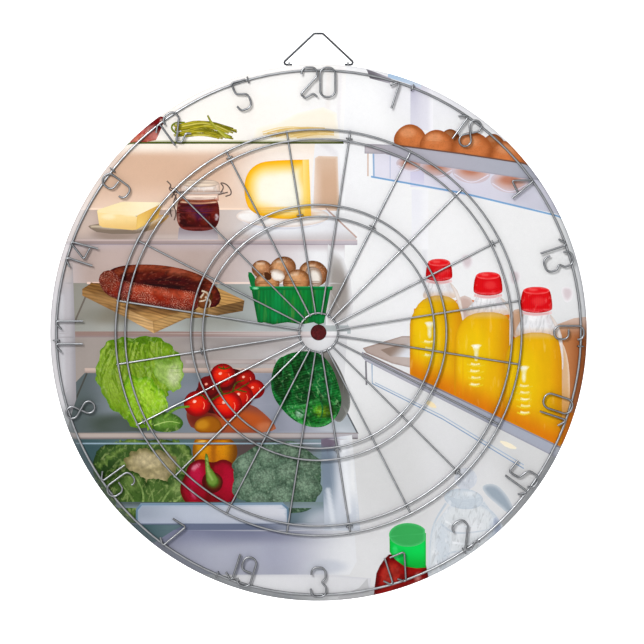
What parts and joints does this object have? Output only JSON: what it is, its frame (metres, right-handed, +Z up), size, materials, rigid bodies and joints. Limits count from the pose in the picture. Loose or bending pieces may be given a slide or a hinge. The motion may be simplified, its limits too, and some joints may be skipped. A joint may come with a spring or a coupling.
{
  "type": "dartboard",
  "caption": "Round fibre dartboard with a printed picture face, wire scoring spider, bent-wire number ring, dark centre plug and a swinging triangular wire hanger.",
  "frame": {"origin": "centre of the flat back, where the board rests on the wall", "axes": "+Y out of the back towards the wall, +Z up, +X to the player's right; the face looks along -Y"},
  "size_m": [0.451, 0.029, 0.4786],
  "materials": {
    "hardboard": "matt",
    "nail_steel": "satin",
    "core_fibre": "matt",
    "face_print": "satin print",
    "band_steel": "satin",
    "rivet_aluminium": "satin",
    "bull_red": "matt",
    "spider_wire": "bright zinc",
    "digit_wire": "bright zinc",
    "staple_wire": "bright zinc",
    "hanger_wire": "bright zinc"
  },
  "bodies": {
    "board": {"back_panel": "hardboard", "back_panel_nails": "nail_steel", "fibre_core": "core_fibre", "printed_face": "face_print", "rim_band": "band_steel", "rim_band_joint_plate": "band_steel", "rim_band_rivets": "rivet_aluminium", "bull_plug": "bull_red", "spider_staples": "staple_wire", "number_ring": "spider_wire", "number_ring_clips": "staple_wire", "hanger_staple_left": "staple_wire", "hanger_staple_right": "staple_wire", "bull_ring": "spider_wire", "treble_inner_ring": "spider_wire", "treble_outer_ring": "spider_wire", "double_inner_ring": "spider_wire", "double_outer_ring": "spider_wire", "radial_wire_01": "spider_wire", "radial_wire_02": "spider_wire", "radial_wire_03": "spider_wire", "radial_wire_04": "spider_wire", "radial_wire_05": "spider_wire", "radial_wire_06": "spider_wire", "radial_wire_07": "spider_wire", "radial_wire_08": "spider_wire", "radial_wire_09": "spider_wire", "radial_wire_10": "spider_wire", "radial_wire_11": "spider_wire", "radial_wire_12": "spider_wire", "radial_wire_13": "spider_wire", "radial_wire_14": "spider_wire", "radial_wire_15": "spider_wire", "radial_wire_16": "spider_wire", "radial_wire_17": "spider_wire", "radial_wire_18": "spider_wire", "radial_wire_19": "spider_wire", "radial_wire_20": "spider_wire", "number_20": "digit_wire", "number_1": "digit_wire", "number_18": "digit_wire", "number_4": "digit_wire", "number_13": "digit_wire", "number_6": "digit_wire", "number_10": "digit_wire", "number_15": "digit_wire", "number_2": "digit_wire", "number_17": "digit_wire", "number_3": "digit_wire", "number_19": "digit_wire", "number_7": "digit_wire", "number_16": "digit_wire", "number_8": "digit_wire", "number_11": "digit_wire", "number_14": "digit_wire", "number_9": "digit_wire", "number_12": "digit_wire", "number_5": "digit_wire"},
    "hanger": {"hanger_bail": "hanger_wire"}
  },
  "joints": [
    {"name": "hanger_swing", "type": "hinge", "parent": "board", "child": "hanger", "pos_m": [0, -0.0125, 0.22562], "axis": [1, 0, 0], "range_deg": [-85, 85]}
  ]
}
